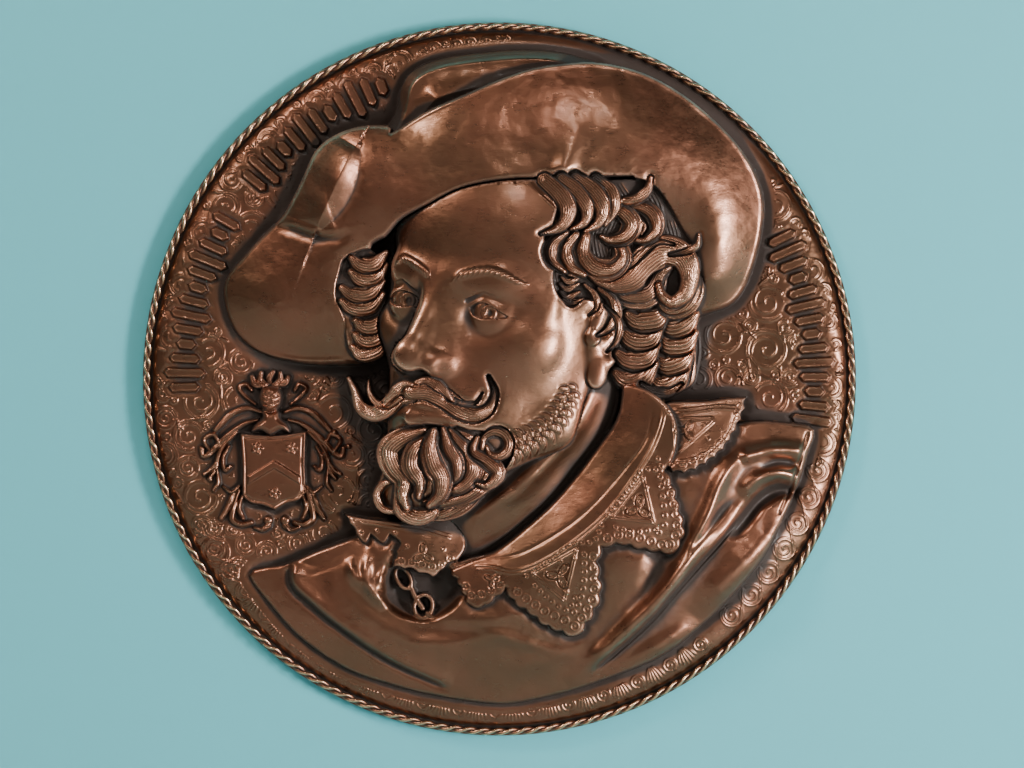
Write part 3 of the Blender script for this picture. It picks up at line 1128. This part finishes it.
def sheet_mesh(heights, every, radius, triangles):
    """The board inside a radius, thinned: points in millimetres and triangles."""
    x = X[::every, ::every]
    z = Z[::every, ::every]
    out = np.hypot(x, z)
    used = out <= radius
    squares = used[:-1, :-1] & used[1:, :-1] & used[1:, 1:] & used[:-1, 1:]
    touching = np.zeros(x.shape, int)
    for row, col in ((0, 0), (1, 0), (1, 1), (0, 1)):
        touching[row:row + squares.shape[0], col:col + squares.shape[1]] += squares
    kept = touching > 0
    number = np.full(x.shape, -1)
    number[kept] = np.arange(kept.sum())
    rows, cols = np.nonzero(squares)
    faces = np.stack([
        number[rows, cols], number[rows + 1, cols], number[rows + 1, cols + 1], number[rows, cols + 1],
    ], 1)
    points = np.stack([x[kept], -heights[::every, ::every][kept], z[kept]], 1)
    mesh = bpy.data.meshes.new("whole")
    fill_mesh(mesh, points, faces)
    whole = bpy.data.objects.new("whole", mesh)
    bpy.context.scene.collection.objects.link(whole)
    thin = whole.modifiers.new("fewer points", "DECIMATE")
    thin.ratio = triangles / (2 * len(faces))
    thin.use_collapse_triangulate = True
    thinned = whole.evaluated_get(bpy.context.evaluated_depsgraph_get()).to_mesh()
    points = np.zeros(len(thinned.vertices) * 3, np.float32)
    thinned.vertices.foreach_get("co", points)
    faces = np.zeros(len(thinned.loops), np.int32)
    thinned.loops.foreach_get("vertex_index", faces)
    bpy.data.objects.remove(whole)
    bpy.data.meshes.remove(mesh)
    return points.reshape(-1, 3), faces.reshape(-1, 3)


def lowest_nearby(heights, cells):
    """Each height replaced by the lowest one in the square round it."""
    for axis in (0, 1):
        lowest = heights.copy()
        for shift in range(-cells, cells + 1):
            lowest = np.minimum(lowest, np.roll(heights, shift, axis))
        heights = lowest
    return heights


# The back follows the front, lower and softer, so that the sheet is hollow

H = np.clip(blurred(H, FRONT_SOFTENED / CELL), SHEET_THICKNESS, None)
hollow_back = blurred(lowest_nearby(H, int(BACK_REACH / CELL)), BACK_SOFTENED / CELL)
hollow_back = np.clip(np.minimum(hollow_back, H - SHEET_THICKNESS) - BACK_MARGIN, 0, None)
front_points, front_faces = sheet_mesh(H, 1, FRONT_RADIUS, FRONT_TRIANGLES)
back_points, back_faces = sheet_mesh(hollow_back, BACK_EVERY, BACK_RADIUS, BACK_TRIANGLES)


# Flange and rim join the two

def open_border(faces, points):
    """The points on the border of an open mesh, in the order of their angle."""
    edges = np.sort(np.vstack([faces[:, [0, 1]], faces[:, [1, 2]], faces[:, [2, 0]]]), axis=1)
    edges, count = np.unique(edges, axis=0, return_counts=True)
    border = np.unique(edges[count == 1])
    return border[np.argsort(np.arctan2(points[border, 2], points[border, 0]))]


def ring(radius, y):
    angles = np.linspace(-np.pi, np.pi, RIM_SIDES, endpoint=False)
    return np.stack([radius * np.cos(angles), np.full(RIM_SIDES, y), radius * np.sin(angles)], 1)


def zip_rings(points, first, second):
    """Triangles between two rings of points, both in the order of their angle."""
    angle = np.arctan2(points[:, 2], points[:, 0])
    faces = []
    i = 0
    j = 0
    while i < len(first) or j < len(second):
        a = first[i % len(first)]
        b = second[j % len(second)]
        next_a = first[(i + 1) % len(first)]
        next_b = second[(j + 1) % len(second)]
        turn_a = angle[next_a] + 2 * np.pi * ((i + 1) // len(first))
        turn_b = angle[next_b] + 2 * np.pi * ((j + 1) // len(second))
        if j >= len(second) or (i < len(first) and turn_a <= turn_b):
            faces.append((a, b, next_a))
            i += 1
        else:
            faces.append((a, b, next_b))
            j += 1
    return faces


front_border = open_border(front_faces, front_points)
back_border = open_border(back_faces, back_points)
back_points[back_border, 1] = 0
rims = [
    ring(FLANGE_INNER, -SHEET_THICKNESS), ring(0.5 * DIAMETER, -SHEET_THICKNESS), ring(0.5 * DIAMETER, 0),
    ring(BACK_FLANGE_INNER, 0),
]
points = np.vstack([front_points, back_points] + rims)
rings = [front_border]
for i in range(len(rims)):
    first = len(front_points) + len(back_points) + i * RIM_SIDES
    rings.append(np.arange(first, first + RIM_SIDES))
rings.append(back_border + len(front_points))
faces = [tuple(face) for face in front_faces]
faces += [tuple(face) for face in back_faces[:, ::-1] + len(front_points)]
for inner, outer in zip(rings[:-1], rings[1:]):
    faces += zip_rings(points, inner, outer)

plate_mesh = bpy.data.meshes.new("embossed_plate")
bm = bmesh.new()
corners = [bm.verts.new(point / 1000) for point in points]
for face in faces:
    bm.faces.new([corners[i] for i in face])
bmesh.ops.recalc_face_normals(bm, faces=bm.faces)
bm.to_mesh(plate_mesh)
bm.free()
plate_mesh.shade_smooth()
plate_mesh.set_sharp_from_angle(angle=np.radians(SMOOTH_UP_TO))
plate = bpy.data.objects.new("embossed_plate", plate_mesh)
plate.location.z = -WALL_POINT_RADIUS / 1000
bpy.context.scene.collection.objects.link(plate)

# Rope on the flange

rope_at = SHEET_THICKNESS + ROPE_GAP + 0.5 * ROPE_THICKNESS
bpy.ops.mesh.primitive_torus_add(
    major_radius=ROPE_RADIUS / 1000,
    minor_radius=0.5 * ROPE_THICKNESS / 1000,
    major_segments=RIM_SIDES,
    minor_segments=ROPE_SIDES,
    rotation=(np.pi / 2, 0, 0),
    location=(0, -rope_at / 1000, -WALL_POINT_RADIUS / 1000),
)
rope = bpy.context.object
rope.name = "rope_edge"
rope.data.shade_smooth()

# Finishes

BROWNED = (0.30, 0.145, 0.085)
BROWNED_ROUGHNESS = 0.42
RUBBED = (0.42, 0.22, 0.12)
RUBBED_ROUGHNESS = 0.34


def copper(name, colour, roughness):
    material = bpy.data.materials.new(name)
    material.use_nodes = True
    shader = material.node_tree.nodes["Principled BSDF"]
    shader.inputs["Base Color"].default_value = (*colour, 1)
    shader.inputs["Metallic"].default_value = 1.0
    shader.inputs["Roughness"].default_value = roughness
    return material


plate.data.materials.append(copper("patinated_copper", BROWNED, BROWNED_ROUGHNESS))
rope.data.materials.append(copper("rubbed_copper", RUBBED, RUBBED_ROUGHNESS))
